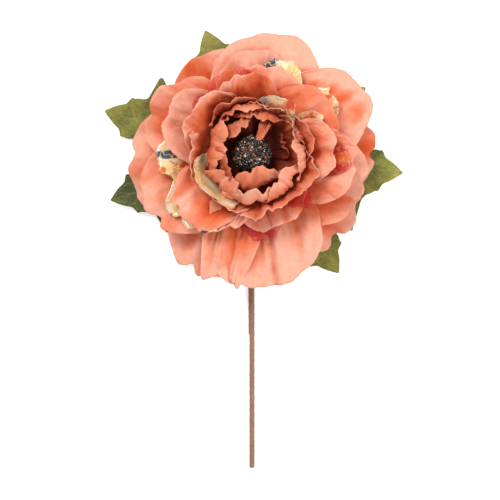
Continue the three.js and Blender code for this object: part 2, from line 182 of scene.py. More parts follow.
CLOTH_LAYERS["petals_4_outer_bowl"] = Layer(5, 28.4, 19, 35, 0.7, 0.45, 0.5, 0.7, 0.06, [
    Petal(96, 47.5, 27, 42, 40, ((0.5, 2, 0.15), (-0.2, 1, 0.15)), ((0.1, 0.6, 0.3),
        (0.5, -0.6, 0.14)), (0, 1), (1, 0), 0.5, ((-0.4, 0.75, 0.3, 0.7), (0.2, 0.68, 0.3, 0.8),
        (0.1, 1.04, 0.16, -1), (0.5, 1, 0.2, -0.6))),
    Petal(141, 44.5, 28, 46, 44, (), ((0.3, 0.4, 0.3),), (0, 0), (0.6, 1), -0.15,
        ((-0.5, 0.64, 0.26, 1.4), (0, 0.64, 0.26, 1.4), (0.5, 0.64, 0.26, 1.4))),
    Petal(182, 37.5, 28, 74, 38, ((0.3, 2, 0.15),), ((-0.2, 0.6, 0.2),), (0, 0), (1, 2), 0.1,
        ((-0.3, 0.7, 0.26, 1.2), (0.3, 0.7, 0.26, 1.2))),
    Petal(232, 35.8, 27, 84, 40, ((-0.2, 2, 0.1), (0.3, 1, 0.1)), ((0.2, 0.8, 0.2),), (0, 0), (1.4, 3),
        0.1),
    Petal(284, 37, 27, 76, 40, ((0.1, 2, 0.12), (-0.5, 2, 0.1)), ((0, 0.8, 0.14),), (0, 0), (1.6, 0),
        0.1),
    Petal(334, 38, 28, 78, 38, ((0.1, 2, 0.12),), ((0.3, -0.8, 0.12),), (0, 0), (1.6, 4), 0.2),
    Petal(5, 51, 26, 44, 38, ((-0.2, 3, 0.2), (0.6, 4, 0.2), (0.15, -2, 0.1)), ((0.1, 1.2, 0.14),),
        (1, 2), (2, 2), 0, ((0.1, 0.7, 0.3, 0.5), (0.15, 1, 0.2, -0.6), (-0.7, 0.9, 0.3, -0.6))),
    Petal(20, 36, 28, 84, 34, ((-0.1, 2, 0.1), (0.5, 2, 0.1)), ((0, 0.9, 0.14),), (0, 0), (1.6, 5),
        0.2),
])
CLOTH_LAYERS["petals_5_inner_bowl"] = Layer(7, 23, 25, 22, 0.6, 0.5, -0.6, 0.75, 0.1, [
    Petal(112, 35, 24, 80, 36, ((0.1, 2, 0.1), (-0.4, 1.5, 0.1)), ((0.1, 0.9, 0.14),), (0, 0), (1, 3),
        0.5, (), 26, 18),
    Petal(68, 31.5, 24.5, 88, 30, ((-0.1, 2, 0.12),), ((0.2, 0.8, 0.14),), (0, 0), (1.2, 1), 0.2, (),
        25, 18),
    Petal(30, 31, 23, 92, 26, ((0.1, 2, 0.12),), ((0.2, 0.8, 0.14),), (0, 0), (1.2, 2), 0.2, (), 25,
        18),
    Petal(100, 26, 25, 128, 34, ((0.3, 2, 0.12), (-0.2, 1.5, 0.1)), ((-0.1, 0.5, 0.2),), (0, 0),
        (0.6, 3), 0.8, (), 26, 18),
    Petal(166, 16, 24.5, 152, 40, ((0.5, 2, 0.12), (-0.1, 1.5, 0.1)), ((0, 0.6, 0.2),), (0, 0), (1, 0),
        0.4),
    Petal(229, 18.5, 24, 148, 34, ((-0.2, 2, 0.1), (0.5, 1.5, 0.1)), ((-0.2, 0.9, 0.12),), (0, 0),
        (1.6, 2), 0.3),
    Petal(272, 20, 24, 146, 42, ((0.25, 2, 0.1), (-0.3, 2, 0.1)), ((0.1, 0.9, 0.12),), (0, 0),
        (1.6, 4), -0.1),
    Petal(318, 21, 23.5, 142, 36, ((-0.1, 2, 0.1),), ((0.3, 0.9, 0.12),), (0, 0), (1.6, 1), 0),
    Petal(6, 25.5, 24, 132, 40, ((-0.2, 2, 0.1), (0.35, 2, 0.1)), ((0.2, 0.8, 0.12),), (0, 0),
        (1.4, 1), -0.6),
    Petal(80, 20.5, 23.5, 138, 32, ((0.2, 1, 0.2), (-0.4, 1, 0.2)), ((-0.1, 0.4, 0.2),), (0, 0),
        (0.5, 3), 1, (), 25, 18),
])
CLOTH_LAYERS["petals_6_heart_guard"] = Layer(8, 14, 16, 18, 0.5, 0.3, 0.3, 0.5, 0.08, [
    Petal(279, 8, 20.5, 162, 37, ((-0.15, 1, 0.1), (0.45, 1, 0.1)), ((0.2, 0.8, 0.14),
        (-0.4, -0.8, 0.12)), (0, 0), (1.2, 0), 0.35, ((0, 0.6, 0.35, 0.4),), 21, 23),
    Petal(199, 15, 21.5, 136, 30, ((0.1, 1.5, 0.12),), ((0, 0.7, 0.16),), (0, 0), (1, 1), 1.2, (), 22,
        18),
    Petal(120, 14, 20.5, 142, 22, ((-0.2, 1.5, 0.12),), ((0.1, 0.4, 0.2),), (0, 0), (0.6, 0), 0.6, (),
        21, 18),
    Petal(66, 8.5, 22, 158, 6.5, (), ((0, -0.7, 0.5),), (0, 0), (0.2, 0), 0.3, (), 20, 22),
    Petal(14, 19.5, 15, 112, 15, ((0.1, 1.5, 0.14),), ((0, 0.4, 0.2),), (0, 0), (0.8, 0), 1.2, (), 18,
        14),
])

FILM_LAYERS = {}
FILM_LAYERS["film_1_outer"] = Layer(2, 27, 24, 120, 0.4, 0.5, 0.6, 2.4, 0.1, [
    Petal(70, 59, 14, 12, 34, tone=0.45, stains=((0.5, 0.95, 0.3, 1.1), (-0.3, 0.8, 0.12, -0.5))),
    Petal(36, 59.7, 14, 12, 32, tone=-0.4, stains=((-0.3, 0.95, 0.2, 0.5), (0.4, 0.9, 0.15, 0.5))),
    Petal(184, 57, 13, 10, 38, ((0.6, 4, 0.2),), tone=0, stains=((-0.2, 0.88, 0.15, 2.4),
        (-0.6, 0.9, 0.2, 0.4), (0.4, 0.75, 0.18, -0.7))),
    Petal(222.5, 60.3, 13, 10, 43, ((-0.05, 4, 0.14), (0.5, 3, 0.2)), tone=0.2,
        stains=((-0.7, 0.9, 0.25, 0.3), (0.1, 0.95, 0.2, 0.9), (-0.2, 0.8, 0.15, -0.6),
        (0.7, 0.95, 0.15, 0.8))),
    Petal(278, 52, 10.5, 8, 36, ((-0.8, 6, 0.3), (0.8, 6, 0.3)), tone=-1.35),
])
FILM_LAYERS["film_2_middle"] = Layer(4, 25, 20, 42, 0.1, 0.1, 0.1, 1.2, 0.1, [
    Petal(30, 47, 22.5, 38, 15, tone=0.1, stains=((0.3, 0.9, 0.3, -0.7),)),
    Petal(357, 58, 22, 24, 24, tone=-0.98),
    Petal(317, 46, 19.5, 36, 18, ((-0.5, 5, 0.3),), tone=-1.7),
    Petal(106, 52, 25.5, 36, 36, tone=-1.02),
    Petal(137, 47, 25, 44, 15, tone=-1.6),
])
FILM_LAYERS["film_3_bowl"] = Layer(6, 26.2, 20, 30, 0.1, 0.2, 2.2, 1.2, 0.1, [
    Petal(60, 36.5, 28.5, 72, 24, tone=0.75, stains=((-0.4, 0.95, 0.25, -1.8),)),
    Petal(217, 34.3, 28.8, 84, 38, tone=0.3, stains=((0, 1, 0.12, 0.5), (0.5, 1, 0.12, 0.5))),
])

PETAL_ROOT = 3.0  # where a petal starts, from the axis
PETAL_WAIST = 0.16  # width at its root, as a share of its width
PETAL_WIDEST = 0.75  # how far along it is at its widest
PETAL_SHOULDER = 0.3  # how much shorter it is at its sides
FOLD_SHADE = 0.4  # painted shade: how much deeper the colour is in a valley 1 mm deep, and how much paler on a crest
BOWL_LEVEL = 5  # of the outer bowl; layers behind it are of outer cloth, layers in it of inner
FILM_GRID = (40, 32)  # faces across and along
FILM_CRUMPLE = 0.5

# ---- the leaves' pattern ----

# upper: whether it is one of the upper three; right and left: how large the lobe on either side is,
# seen along the leaf from its stalk; tone: from -1 for pale to 1 and over for dark.
Leaf = namedtuple("Leaf", "turn reach upper right left tone")
LEAVES = {
    "leaf_1_left": Leaf(163, 93, False, 1.25, 0.9, 0.1),
    "leaf_2_top": Leaf(110.5, 80.5, True, 0.8, 1.4, -0.3),
    "leaf_3_top_right": Leaf(31, 80, False, 1.0, 1.0, 0.0),
    "leaf_4_right": Leaf(353.5, 91.5, True, 1.65, 0.9, 0.1),
    "leaf_5_bottom_right": Leaf(306.5, 88, False, 0.8, 1.2, 0.1),
    # Its deep tone is painted shade.
    "leaf_6_bottom_left": Leaf(197.5, 89.5, True, 0.85, 1.25, 1.5),
}
LEAF_BLADE_LENGTH = 62.0
LEAF_STALK_HALF_WIDTH = 1.1
LEAF_LOBE = 35.0
LEAF_FOLD = 0.05
LEAF_START = STEM_RADIUS + 0.5  # where a stalk begins, beside the stem
LEAF_LEVELS = {True: (11.6, 5.0), False: (9.2, 0.0)}  # root and tip, of upper and of lower leaves
LEAF_GRID = (32, 130)
TOOTH_SPACING = 5.2
TOOTH_DEPTH = 0.09  # as a share of the width
# Half the width of the blade at each distance from its foot.
LEAF_OUTLINE = [
    (0, 1.1), (3, 9), (12, 16), (24, 20), (36, 24), (39, 12.5), (48.5, 12.5), (50.5, 8.5), (57, 4.6),
    (62, 0.3),
]

# ---- small helpers ----


def mix(a, b, t):
    return a + (b - a) * t


def clamp(value, low=0.0, high=1.0):
    return min(high, max(low, value))


def smoothstep(value, low, high):
    t = clamp((value - low) / (high - low))
    return t * t * (3 - 2 * t)


def sinc(angle):
    return 1.0 if abs(angle) < 1e-6 else math.sin(angle) / angle


def bump(distance, width):
    """1 at distance 0, falling smoothly to nothing over a few widths."""
    return math.exp(-((distance / width) ** 2))


def wander(x, y, z):
    """Smooth noise, between about -1 and 1."""
    return noise.noise(Vector((x, y, z)))


def linear(hex_colour):
    """A colour of the screen, as #rrggbb, in the linear values that shaders take."""
    channels = [int(hex_colour[i : i + 2], 16) / 255 for i in (1, 3, 5)]
    return (
        *(c / 12.92 if c <= 0.04045 else ((c + 0.055) / 1.055) ** 2.4 for c in channels), 1.0
    )


def along_outline(outline, distance):
    """The second value of a list of pairs where the first is distance."""
    for (x0, y0), (x1, y1) in zip(outline, outline[1:]):
        if distance <= x1:
            return mix(y0, y1, (distance - x0) / (x1 - x0))
    return outline[-1][1]


# ---- meshes ----


def new_mesh():
    """An empty bmesh with the layers that the materials read: a UV map, and a tone for each point."""
    bm = bmesh.new()
    bm.loops.layers.uv.new("UVMap")
    bm.verts.layers.float.new("tone")
    return bm


def add_sheet(bm, columns, rows, point_at, relief=None, tone=0.0, closed=False):
    """A sheet of cloth laid by point_at(u, v), u from -1 to 1 across and v from 0 to 1 along.

    Its front faces the viewer of the bloom. relief(u, v) lifts it off that surface, in millimetres.
    tone is a number or a function of u and v. A closed sheet's sides are joined.
    """
    before = set(bm.faces)
    grid = bmesh.ops.create_grid(
        bm, x_segments=columns, y_segments=rows, size=1.0, calc_uvs=True
    )["verts"]
    uv_layer = bm.loops.layers.uv.active
    tone_layer = bm.verts.layers.float["tone"]
    spots = [(vert, -vert.co.x, (vert.co.y + 1) / 2) for vert in grid]
    for face in set(bm.faces) - before:
        face.smooth = True
        for loop in face.loops:
            loop[uv_layer].uv = ((loop.vert.co.x + 1) / 2, (loop.vert.co.y + 1) / 2)
    for vert, u, v in spots:
        vert.co = place(*point_at(u, v))
        vert[tone_layer] = tone(u, v) if callable(tone) else tone
    if relief:
        bm.normal_update()
        lifted = [(vert, vert.co + vert.normal * relief(u, v) * MM) for vert, u, v in spots]
        for vert, where in lifted:
            vert.co = where
    if closed:
        bmesh.ops.remove_doubles(bm, verts=grid, dist=MERGE_DISTANCE)
    return grid


def add_hub(bm, height):
    """A flat washer of cloth round the axis, which the roots of a layer's petals grow from."""
    middle = place(0, 0, height)
    made = bmesh.ops.create_circle(
        bm, cap_ends=False, radius=HUB_RADIUS * MM, segments=HUB_SIDES,
        matrix=Matrix.Translation(middle),
    )
    edges = list({edge for vert in made["verts"] for edge in vert.link_edges})
    grown = bmesh.ops.extrude_edge_only(bm, edges=edges)
    inside = [item for item in grown["geom"] if isinstance(item, bmesh.types.BMVert)]
    bmesh.ops.scale(
        bm, vec=(HUB_BORE_RADIUS / HUB_RADIUS,) * 3, space=Matrix.Translation(-middle), verts=inside
    )


def turn_profile(bm, profile, steps):
    """A form turned round the axis, from pairs of radius and height."""
    line = [bm.verts.new(place(radius, 0, height)) for radius, height in profile]
    edges = [bm.edges.new(pair) for pair in zip(line, line[1:])]
    bmesh.ops.spin(
        bm, geom=line + edges, cent=place(0, 0, 0), axis=(0, 0, 1), angle=2 * math.pi, steps=steps,
        use_merge=True,
    )
    bmesh.ops.remove_doubles(bm, verts=bm.verts, dist=MERGE_DISTANCE)
    bmesh.ops.recalc_face_normals(bm, faces=bm.faces)


def finish_piece(bm, name, materials, thickness=None):
    """The bmesh as a piece that stands for the node of its name and takes its finish from materials.

    With a thickness it becomes cloth, whose back takes the second of two materials.
    """
    mesh = bpy.data.meshes.new(name)
    bm.to_mesh(mesh)
    bm.free()
    piece = bpy.data.objects.new(name, mesh)
    bpy.context.scene.collection.objects.link(piece)
    for material in materials:
        mesh.materials.append(material)
    if thickness:
        wall = piece.modifiers.new("Cloth", "SOLIDIFY")
        wall.thickness = thickness
        wall.offset = 0.0
        wall.use_rim = True
        wall.material_offset = len(materials) - 1
    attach(piece, BODY)
    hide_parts(name)


# ---- node material kit ----


class Shader:
    """A material under construction, with short calls for its nodes."""

    def __init__(self, name):
        self.material = bpy.data.materials.new(name)
        self.material.use_nodes = True
        self.tree = self.material.node_tree
        self.tree.nodes.clear()
        self.output = self.tree.nodes.new("ShaderNodeOutputMaterial")

    def node(self, kind, inputs=None, **settings):
        """A node of a kind; its inputs, by name or number, take values or other nodes' outputs."""
        made = self.tree.nodes.new("ShaderNode" + kind)
        for key, value in settings.items():
            setattr(made, key, value)
        for key, value in (inputs or {}).items():
            if isinstance(value, bpy.types.NodeSocket):
                self.tree.links.new(value, made.inputs[key])
            else:
                made.inputs[key].default_value = value
        return made

    def scaled(self, vector, scale):
        return self.node("Mapping", {"Vector": vector, "Scale": scale}).outputs["Vector"]

    def object_place(self, scale=1.0):
        """Object coordinates in millimetres, times scale."""
        return self.scaled(self.node("TexCoord").outputs["Object"], (1000 * scale,) * 3)

    def sheet_place(self, across=1.0, along=1.0):
        """The sheet's own UV coordinates, stretched."""
        return self.scaled(self.node("UVMap", uv_map="UVMap").outputs["UV"], (across, along, 1.0))

    def tone(self):
        return self.node("Attribute", attribute_name="tone").outputs["Fac"]

    def noise(self, vector, scale=1.0, detail=3.0):
        inputs = {"Vector": vector, "Scale": scale, "Detail": detail, "Roughness": 0.55}
        return self.node("TexNoise", inputs).outputs["Fac"]

    def cell_borders(self, vector, scale):
        """How far it is to the border of the cell in an uneven pattern of cells."""
        inputs = {"Vector": vector, "Scale": scale}
        return self.node("TexVoronoi", inputs, feature="DISTANCE_TO_EDGE").outputs["Distance"]

    def math(self, operation, a, b=0.0, clamped=False):
        made = self.node("Math", {0: a, 1: b}, operation=operation, use_clamp=clamped)
        return made.outputs["Value"]

    def times(self, a, b):
        return self.math("MULTIPLY", a, b)

    def range(self, *values):
        """A value set over: itself, its low and high end, and where they go if not to 0 and 1."""
        return self.node("MapRange", dict(enumerate(values))).outputs["Result"]

    def ramp(self, factor, stops, interpolation="LINEAR"):
        """A colour ramp from pairs of position and #rrggbb."""
        made = self.node("ValToRGB", {"Fac": factor})
        made.color_ramp.interpolation = interpolation
        elements = made.color_ramp.elements
        while len(elements) < len(stops):
            elements.new(0.5)
        for element, (position, colour) in zip(elements, stops):
            element.position = position
            element.color = linear(colour)
        return made.outputs["Color"]

    def blend(self, factor, colour, hex_colour):
        """The colour, turning to #rrggbb with the factor."""
        inputs = {0: factor, 6: colour, 7: linear(hex_colour)}
        return self.node("Mix", inputs, data_type="RGBA").outputs[2]

    def bumped(self, height, distance, strength, normal=None):
        inputs = {"Height": height, "Distance": distance, "Strength": strength}
        if normal is not None:
            inputs["Normal"] = normal
        return self.node("Bump", inputs).outputs["Normal"]

    def principled(self, **inputs):
        spaced = {key.replace("_", " "): value for key, value in inputs.items()}
        return self.node("BsdfPrincipled", spaced).outputs["BSDF"]

    def glow(self, **inputs):
        """Light that comes through the cloth from its other side."""
        return self.node("BsdfTranslucent", inputs).outputs["BSDF"]

    def mixed(self, factor, first, second):
        return self.node("MixShader", {0: factor, 1: first, 2: second}).outputs["Shader"]

    def done(self, surface):
        self.tree.links.new(surface, self.output.inputs["Surface"])
        return self.material


# ---- materials ----

# How far one whole tone moves a petal along its ramp of dye and painted shade, the film along its
# ramp of tint and painted reflections, and a leaf along its ramp of print and painted shade.
DYE_AND_SHADE_PER_TONE = 0.34
HUE_PER_TONE = 0.35
FADE_PER_TONE = 0.3

# Face and back of each sort of petal cloth: its colour from root to rim, and how translucent it is. The
# colour is partly dye and partly painted shade, deep at the root where the petals shade one another and
# deepest in the sorts for the bowl.
CLOTHS = {
    "outer petal": {
        "face": ([(0, "#a83408"), (0.3, "#d24c18"), (0.5, "#e2693c"), (0.68, "#ea8660"),
                  (0.84, "#f0a082"), (1, "#f7baa0")], 0.25),
        "back": ([(0, "#c4603f"), (0.34, "#da7450"), (0.56, "#e88a66"), (0.78, "#ef9c78"),
                  (1, "#f4ab88")], 0.25),
    },
    "outer bowl": {
        "face": ([(0, "#942c12"), (0.4, "#c85028"), (0.64, "#e07448"), (0.84, "#ee9474"),
                  (1, "#f6b69a")], 0.2),
        "back": ([(0, "#b04a2c"), (0.4, "#d06a4a"), (0.64, "#e48868"), (0.85, "#f0a082"),
                  (1, "#f6b494")], 0.2),
    },
    "inner petal": {
        "face": ([(0, "#54140a"), (0.42, "#94341a"), (0.66, "#c25a36"), (0.86, "#de7e58"),
                  (1, "#f2aa84")], 0.12),
        "back": ([(0, "#7c220c"), (0.36, "#b84a26"), (0.6, "#d87450"), (0.82, "#ea9474"),
                  (1, "#f2aa8c")], 0.15),
    },
}


def petal_cloth(name, stops, light_through):
    """Satin-weave cloth with dye and painted shade deep at the root and pale at the rim; light_through
    is its translucency.
    """
    shader = Shader(name)
    sheet = shader.node("SeparateXYZ", {"Vector": shader.sheet_place()}).outputs
    place_mm = shader.object_place()
    cloud = shader.noise(place_mm, scale=0.055, detail=4.0)
    mottle = shader.noise(place_mm, scale=0.35)
    streaks = shader.noise(shader.sheet_place(15.0, 1.8))
    # Place on the ramp from root to rim: dye and painted shade, deep at the root where petals shade one
    # another, with random clouds and streaks, deeper by the tone.
    dye_and_shade = shader.math("ADD", sheet["Y"], shader.range(cloud, 0.3, 0.7, -0.2, 0.18))
    dye_and_shade = shader.math("ADD", dye_and_shade, shader.range(streaks, 0.3, 0.7, -0.04, 0.04))
    deeper = shader.times(shader.tone(), DYE_AND_SHADE_PER_TONE)
    dye_and_shade = shader.math("SUBTRACT", dye_and_shade, deeper, clamped=True)
    colour = shader.ramp(dye_and_shade, stops)
    colour = shader.blend(shader.range(mottle, 0.35, 0.75, 0.0, 0.16), colour, stops[1][1])
    wave_inputs = {"Vector": place_mm, "Scale": 0.9, "Distortion": 0.6}
    warp, weft = (
        shader.node("TexWave", wave_inputs, bands_direction=way).outputs["Fac"] for way in "XY"
    )
    normal = shader.bumped(shader.times(warp, weft), 0.00004, 0.5)
    normal = shader.bumped(streaks, 0.0005, 0.22, normal)
    normal = shader.bumped(mottle, 0.0004, 0.25, normal)
    cloth = shader.principled(
        Base_Color=colour, Roughness=0.72, Specular_IOR_Level=0.25, Sheen_Weight=0.12,
        Sheen_Roughness=0.45, Sheen_Tint=linear("#ffd9c4"), Normal=normal,
    )
    return shader.done(
        shader.mixed(light_through, cloth, shader.glow(Color=colour, Normal=normal))
    )


def cloth_pair(sort):
    """The materials of one sort of petal: its face, and its back."""
    return [petal_cloth(f"{sort} {side}", *cloth) for side, cloth in CLOTHS[sort].items()]


def iridescent_film():
    """Clear film crumpled in flat facets: pink and see-through, or painted reflections of gold, cream,
    green or slate.
    """
    shader = Shader("iridescent film")
    place_mm = shader.object_place()
    bent = shader.node(
        "TexNoise", {"Vector": place_mm, "Scale": 0.2, "Detail": 1.0}
    ).outputs["Color"]
    bent_place = shader.node(
        "VectorMath", {0: bent, 1: (7.0, 7.0, 7.0), 2: place_mm}, operation="MULTIPLY_ADD"
    ).outputs["Vector"]
    cells = shader.node("TexVoronoi", {"Vector": bent_place, "Scale": 0.19}).outputs
    borders = shader.cell_borders(bent_place, 0.19)
    parts = shader.node("SeparateColor", {"Color": cells["Color"]}).outputs
    hue_place = shader.range(parts["Red"], 0.0, 1.0, 0.34, 0.66)
    shifted = shader.times(shader.tone(), HUE_PER_TONE)
    hue_place = shader.math("ADD", hue_place, shifted, clamped=True)
    # Pink tint at the low end; above it painted reflections, gold, cream, pale green and dark slate.
    tint_and_reflection = shader.ramp(
        hue_place,
        [(0, "#d8404e"), (0.06, "#e66e6e"), (0.16, "#ea7c74"), (0.2, "#ec7c44"), (0.34, "#f09048"),
         (0.37, "#f0bc98"), (0.46, "#f2c8a4"), (0.5, "#f6d88c"), (0.6, "#fdeebc"), (0.65, "#fdeed4"),
         (0.8, "#fbf0dc"), (0.84, "#cfdcc8"), (0.9, "#a4b2b4"), (0.94, "#525e6c")],
    )
    is_foil = shader.range(hue_place, 0.15, 0.4)
    # Painted glints: bright gold lines along the edges of the foil's facets.
    glint_lines = shader.times(shader.range(borders, 0.03, 0.09, 1.0, 0.0), is_foil)
    tint_and_reflection = shader.blend(shader.times(glint_lines, 0.75), tint_and_reflection, "#fff0b4")
    # Painted shade: one side of some foil facets darker.
    facet_shade = shader.times(
        shader.range(borders, 0.08, 0.2, 1.0, 0.0), shader.range(parts["Green"], 0.3, 0.7)
    )
    facet_shade = shader.math("SUBTRACT", facet_shade, glint_lines, clamped=True)
    facet_shade = shader.times(facet_shade, is_foil)
    tint_and_reflection = shader.blend(shader.times(facet_shade, 0.5), tint_and_reflection, "#b48850")
    normal = shader.bumped(parts["Blue"], 0.0006, 0.5)
    gloss = shader.principled(
        Base_Color=tint_and_reflection, Metallic=0.1, Roughness=0.22, Specular_IOR_Level=0.8, Normal=normal,
    )
    foil = shader.mixed(0.3, gloss, shader.glow(Color=tint_and_reflection, Normal=normal))
    clear = shader.node("BsdfTransparent", {"Color": linear("#fceae8")}).outputs["BSDF"]
    cover = shader.range(hue_place, 0.1, 0.5, 0.28, 0.96)
    return shader.done(shader.mixed(cover, clear, foil))


def leaf_cloth():
    """Green cloth printed with mottling and pale veins, yellow towards the tip and dark by the bloom."""
    shader = Shader("printed leaf cloth")
    sheet = shader.node("SeparateXYZ", {"Vector": shader.sheet_place()}).outputs
    place_mm = shader.object_place()
    side = shader.math("ABSOLUTE", shader.math("SUBTRACT", sheet["X"], 0.5))
    print_noise = shader.noise(place_mm, scale=0.6, detail=4.0)
    cloud = shader.noise(place_mm, scale=0.09, detail=2.0)
    fade = shader.math("ADD", sheet["Y"], shader.range(cloud, 0.3, 0.7, -0.16, 0.16))
    fade = shader.math("SUBTRACT", fade, shader.times(shader.tone(), FADE_PER_TONE))
    colour = shader.ramp(
        fade,
        [(0, "#2e3812"), (0.45, "#464e1a"), (0.66, "#646822"), (0.84, "#86842e"), (1, "#a59e4c")],
    )
    colour = shader.blend(shader.range(print_noise, 0.4, 0.75, 0.0, 0.6), colour, "#3e4719")
    rib = shader.range(side, 0.0, 0.012, 1.0, 0.0)
    slant = shader.math("SUBTRACT", sheet["Y"], shader.times(side, 0.28))
    twigs = shader.math("FRACT", shader.times(slant, 11.0))
    twigs = shader.math("ABSOLUTE", shader.math("SUBTRACT", twigs, 0.5))
    net = shader.cell_borders(place_mm, 0.6)
    veins = shader.math("MAXIMUM", rib, shader.range(twigs, 0.0, 0.06, 0.6, 0.0))
    veins = shader.math("MAXIMUM", veins, shader.range(net, 0.0, 0.12, 0.32, 0.0))
    colour = shader.blend(shader.times(veins, 0.6), colour, "#bab878")
    normal = shader.bumped(veins, 0.0004, 0.5)
    normal = shader.bumped(print_noise, 0.0003, 0.4, normal)
    cloth = shader.principled(
        Base_Color=colour, Roughness=0.6, Specular_IOR_Level=0.35, Sheen_Weight=0.08, Normal=normal
    )
    return shader.done(shader.mixed(0.12, cloth, shader.glow(Color=colour)))


def calyx_plastic():
    shader = Shader("moulded calyx green")
    grain = shader.noise(shader.object_place(), scale=0.5)
    colour = shader.ramp(grain, [(0.3, "#4d5626"), (0.6, "#66702f"), (0.85, "#7d8440")])
    normal = shader.bumped(grain, 0.0003, 0.4)
    return shader.done(
        shader.principled(Base_Color=colour, Roughness=0.5, Specular_IOR_Level=0.4, Normal=normal)
    )


def paper_tape():
    """Brown crepe paper tape wound in a close spiral."""
    shader = Shader("brown paper tape")
    place_mm = shader.object_place()
    crepe = shader.noise(shader.scaled(place_mm, (1.0, 3.0, 1.0)), scale=0.8, detail=4.0)
    patch = shader.noise(place_mm, scale=0.06, detail=2.0)
    colour = shader.ramp(crepe, [(0.25, "#6c4c40"), (0.5, "#876454"), (0.8, "#a3806e")])
    colour = shader.blend(shader.range(patch, 0.3, 0.7, 0.0, 0.3), colour, "#a98672")
    normal = shader.bumped(crepe, 0.0003, 0.6)
    return shader.done(
        shader.principled(Base_Color=colour, Roughness=0.85, Specular_IOR_Level=0.2, Normal=normal)
    )


def glass_seed():
    """Small glossy beads from black and dark green to copper and clear, with pale specks painted on as
    glitter glints.
    """
    shader = Shader("glittered seed beads")
    colour = shader.ramp(
        shader.tone(),
        [(0, "#100d0a"), (0.3, "#201e16"), (0.48, "#34302a"), (0.64, "#50321f"), (0.8, "#80523c"),
         (0.93, "#94887a"), (0.98, "#d0c8bc")],
        "CONSTANT",
    )
    specks = shader.node("TexVoronoi", {"Vector": shader.object_place(), "Scale": 1.5})
    from_speck = specks.outputs["Distance"]
    # Painted glints: pale specks over the beads.
    glint = shader.range(from_speck, 0.12, 0.2, 1.0, 0.0)
    colour = shader.blend(shader.times(glint, 0.45), colour, "#e0d4c8")
    return shader.done(
        shader.principled(
            Base_Color=colour, Roughness=0.12, Metallic=0.15, Specular_IOR_Level=0.8,
            Normal=shader.bumped(from_speck, 0.0003, 0.6),
        )
    )


# ---- petals ----


def bezier(points, t):
    """Point and unit tangent of a cubic curve in a plane."""
    a, b, c, d = points
    s = 1 - t
    at = a * s**3 + b * 3 * s * s * t + c * 3 * s * t * t + d * t**3
    way = (b - a) * s * s + (c - b) * 2 * s * t + (d - c) * t * t
    return at, way.normalized()


def petal_surface(layer, petal, phase, seed):
    """The sheet of one petal, in millimetres from the axis, as a function of u and v."""
    rim = Vector((petal.reach, petal.rise))
    lip = math.radians(petal.lip)
    flat, pull = petal.flat or layer.flat, petal.pull or layer.pull
    pulled = rim - pull * Vector((math.cos(lip), math.sin(lip)))
    spine = (Vector((PETAL_ROOT, 0.0)), Vector((flat, 0.0)), pulled, rim)
    length_mm = max(20.0, math.hypot(petal.reach, petal.rise))
    turn = Matrix.Rotation(math.radians(petal.turn), 3, "Z")
    height = STACK_BASE + layer.level * HUB_PITCH

    @lru_cache(maxsize=None)
    def trim(u):
        """How much of its length the petal loses at u across, as a share."""
        scallops = wander(2.6 * u, seed, 0.0)
        tears = wander(8.0 * u, seed, 7.0) + 0.5 * wander(19.0 * u, seed, 4.0)
        lost = layer.ragged * (0.9 * scallops + 0.8 * tears)
        lost += sum(depth * bump(u - where, width) for where, depth, width in petal.nicks)
        return lost / length_mm

    def surface(u, v):
        shoulder = PETAL_SHOULDER * abs(u) ** 3.5
        length = v * (1 - shoulder - trim(u) * smoothstep(v, 0.5, 1.0))
        at = bezier(spine, length)[0]
        way = bezier(spine, clamp(length, 0.002, 0.998))[1]
        opened = math.sin(min(1.0, v / PETAL_WIDEST) * math.pi / 2)
        half = petal.width / 2 * (PETAL_WAIST + (1 - PETAL_WAIST) * opened)
        bend = half * u * way.y / layer.cup
        lift = (
            half * u * math.sin(bend / 2) * sinc(bend / 2)
            + layer.tilt * u * smoothstep(v, 0.1, 0.5)
            + layer.ruffle * v**3 * math.sin(5 * u + phase)
        )
        spot = turn @ Vector((at.x - way.y * lift, half * u * sinc(bend), at.y + way.x * lift))
        return spot.x, spot.y, height + spot.z

    return surface


def folds_at(petal, u):
    """Height of a petal's folds at u across, in millimetres."""
    return sum(height * bump(u - where, width) for where, height, width in petal.folds)


def petal_relief(layer, petal, seed, crumple):
    """Folds, pleats, crumples and the rolled rim of one petal: height off its surface, at u and v."""
    swell, phase = petal.wave
    first_edge, last_edge = petal.edges

    @lru_cache(maxsize=None)
    def across(u):
        """Folds, pleats, flutter and roll at u across."""
        folds = folds_at(petal, u)
        flutter = wander(5.5 * u, seed, 11.0) + 0.5 * wander(13.0 * u, seed, 2.0)
        flutter *= clamp(0.5 + 2.2 * wander(1.6 * u, seed, 5.0), 0.15, 1.3)
        roll = 0.7 + 0.9 * wander(3 * u, seed, 3.0)
        return folds, flutter, roll

    def relief(u, v):
        folds, flutter, roll = across(u)
        grown = smoothstep(v, 0.12, 0.6)
        pleats = layer.pleat * math.sin(17 * u + 3 * wander(2 * u, 2 * v, seed))
        creases = crumple * noise.fractal(Vector((3.0 * u, 2.6 * v, seed)), 0.8, 2.0, 4)
        line = wander(3.4 * u + 0.5 * wander(u, 3 * v, seed), 1.1 * v, seed + 20)
        broken = smoothstep(wander(2 * u, 2 * v, seed + 9), -0.1, 0.3)
        creases -= 0.9 * crumple * bump(line, 0.08) * broken
        edges = (first_edge if u < 0 else last_edge) * abs(u) ** 4 * smoothstep(v, 0.3, 0.8)
        waves = swell * v**3 * math.sin(4 * u + phase)
        ruffle = layer.ruffle * (0.2 + 0.5 * swell) * v**5 * flutter
        curl = -layer.curl * smoothstep(v, 0.82, 1.0) ** 1.5 * roll
        return grown * (2.0 * folds + pleats + creases) + edges + waves + ruffle + curl

    return relief


